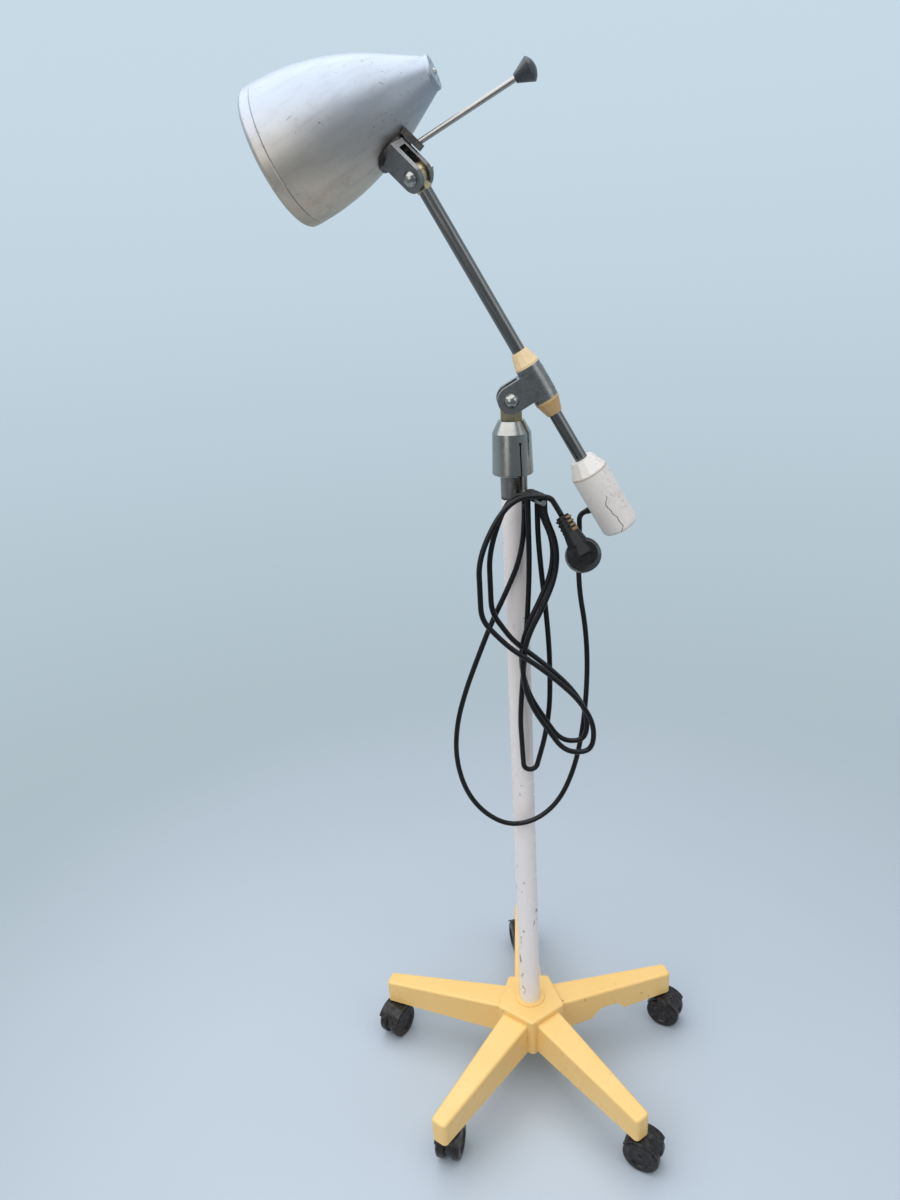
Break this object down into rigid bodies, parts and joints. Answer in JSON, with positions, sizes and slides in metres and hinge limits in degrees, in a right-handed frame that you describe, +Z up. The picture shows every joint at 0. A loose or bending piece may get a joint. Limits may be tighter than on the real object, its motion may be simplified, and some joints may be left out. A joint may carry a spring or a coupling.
{
  "type": "mobile examination lamp",
  "caption": "Medical lamp with a bell-shaped head on a counterweighted arm, on a column with a friction collar, five-legged caster base and a mains cord hung on a hook.",
  "frame": {"origin": "on the floor, on the column's axis", "axes": "+Z up along the column, +Y away from the viewer, +X to the viewer's right, the side of the counterweight"},
  "size_m": [0.5163, 0.4647, 1.3574],
  "materials": {
    "cream_paint": "cream-yellow enamel with worn edges",
    "white_paint": "white enamel, chipped",
    "aged_chrome": "dulled chrome plate",
    "dark_steel": "darkened satin steel",
    "brass": "aged brass",
    "cone_plastic": "yellowed cream plastic",
    "silver_lacquer": "satin silver lacquer, scratched",
    "black_plastic": "black moulded plastic",
    "black_rubber": "black rubber sheath",
    "zinc_steel": "plain zinc-plated steel",
    "clear_glass": "clear glass",
    "frosted_glass": "frosted glass"
  },
  "bodies": {
    "base": {"base_hub": "cream_paint", "leg_1": "cream_paint", "leg_2": "cream_paint", "leg_3": "cream_paint", "leg_4": "cream_paint", "leg_5": "cream_paint", "leg_screws": "zinc_steel", "caster_sockets": "zinc_steel", "column_tube": "white_paint", "column_foot_plug": "zinc_steel", "column_washer": "zinc_steel", "column_bolt": "zinc_steel", "column_top_cap": "zinc_steel"},
    "caster_1": {"caster_1_hood": "black_plastic", "caster_1_pins": "zinc_steel"},
    "wheels_1": {"caster_1_wheels": "black_plastic"},
    "caster_2": {"caster_2_hood": "black_plastic", "caster_2_pins": "zinc_steel"},
    "wheels_2": {"caster_2_wheels": "black_plastic"},
    "caster_3": {"caster_3_hood": "black_plastic", "caster_3_pins": "zinc_steel"},
    "wheels_3": {"caster_3_wheels": "black_plastic"},
    "caster_4": {"caster_4_hood": "black_plastic", "caster_4_pins": "zinc_steel"},
    "wheels_4": {"caster_4_wheels": "black_plastic"},
    "caster_5": {"caster_5_hood": "black_plastic", "caster_5_pins": "zinc_steel"},
    "wheels_5": {"caster_5_wheels": "black_plastic"},
    "collar": {"swivel_collar": "aged_chrome", "pivot_tongue": "brass", "cord_hook": "aged_chrome", "cord_hank": "black_rubber", "mains_plug": "black_rubber", "plug_pins": "aged_chrome", "cord_free": "black_rubber"},
    "yoke": {"arm_yoke": "dark_steel", "sleeve_bush": "brass", "clamp_rings": "dark_steel", "cone_nuts": "cone_plastic", "pivot_bolt": "aged_chrome", "pivot_nut": "aged_chrome"},
    "arm": {"arm_tube": "dark_steel", "arm_tip_tongue": "brass", "counterweight_body": "white_paint", "counterweight_cone": "white_paint", "cord_gland": "black_rubber"},
    "clevis": {"head_clevis": "dark_steel", "clevis_bolt": "aged_chrome", "clevis_nut": "aged_chrome", "swivel_pin": "zinc_steel"},
    "head": {"mount_pad": "black_plastic", "shade": "silver_lacquer", "front_bezel": "silver_lacquer", "front_glass": "clear_glass", "rear_cap": "silver_lacquer", "rear_cap_screw": "zinc_steel", "lamp_holder": "black_plastic", "bulb": "frosted_glass", "handle_rod": "aged_chrome", "handle_knob": "black_plastic"}
  },
  "joints": [
    {"name": "caster_1_swivel", "type": "hinge", "parent": "base", "child": "caster_1", "pos_m": [0.00632, 0.21291, 0], "axis": [0, 0, 1], "continuous": true},
    {"name": "caster_1_roll", "type": "hinge", "parent": "caster_1", "child": "wheels_1", "pos_m": [0.00371, 0.22768, 0.025], "axis": [-0.9848, -0.1736, 0], "continuous": true},
    {"name": "caster_2_swivel", "type": "hinge", "parent": "base", "child": "caster_2", "pos_m": [-0.20053, 0.0718, 0], "axis": [0, 0, 1], "continuous": true},
    {"name": "caster_2_roll", "type": "hinge", "parent": "caster_2", "child": "wheels_2", "pos_m": [-0.20914, 0.05951, 0.025], "axis": [0.8192, -0.5736, 0], "continuous": true},
    {"name": "caster_3_swivel", "type": "hinge", "parent": "base", "child": "caster_3", "pos_m": [-0.13026, -0.16853, 0], "axis": [0, 0, 1], "continuous": true},
    {"name": "caster_3_roll", "type": "hinge", "parent": "caster_3", "child": "wheels_3", "pos_m": [-0.12663, -0.15398, 0.025], "axis": [-0.9703, 0.2419, 0], "continuous": true},
    {"name": "caster_4_swivel", "type": "hinge", "parent": "base", "child": "caster_4", "pos_m": [0.12003, -0.17596, 0], "axis": [0, 0, 1], "continuous": true},
    {"name": "caster_4_roll", "type": "hinge", "parent": "caster_4", "child": "wheels_4", "pos_m": [0.13302, -0.18346, 0.025], "axis": [0.5, 0.866, 0], "continuous": true},
    {"name": "caster_5_swivel", "type": "hinge", "parent": "base", "child": "caster_5", "pos_m": [0.20444, 0.05978, 0], "axis": [0, 0, 1], "continuous": true},
    {"name": "caster_5_roll", "type": "hinge", "parent": "caster_5", "child": "wheels_5", "pos_m": [0.21743, 0.05228, 0.025], "axis": [0.5, 0.866, 0], "continuous": true},
    {"name": "collar_swivel", "type": "hinge", "parent": "base", "child": "collar", "pos_m": [0, 0, 0.93], "axis": [0, 0, 1], "continuous": true},
    {"name": "arm_tilt", "type": "hinge", "parent": "collar", "child": "yoke", "pos_m": [0, 0, 1.0013], "axis": [0, 1, 0], "range_deg": [-50, 18], "deforming": ["cord_free"]},
    {"name": "arm_roll", "type": "hinge", "parent": "yoke", "child": "arm", "pos_m": [0.03038, 0, 1.01807], "axis": [-0.4833, 0, 0.8755], "range_deg": [-45, 45], "deforming": ["cord_free"]},
    {"name": "head_tilt", "type": "hinge", "parent": "arm", "child": "clevis", "pos_m": [-0.09034, 0, 1.23676], "axis": [0.6506, 0.6691, 0.3591], "range_deg": [-55, 40]},
    {"name": "head_swivel", "type": "hinge", "parent": "clevis", "child": "head", "pos_m": [-0.09034, 0, 1.23676], "axis": [-0.6644, 0.2724, 0.696], "range_deg": [-60, 60]}
  ]
}
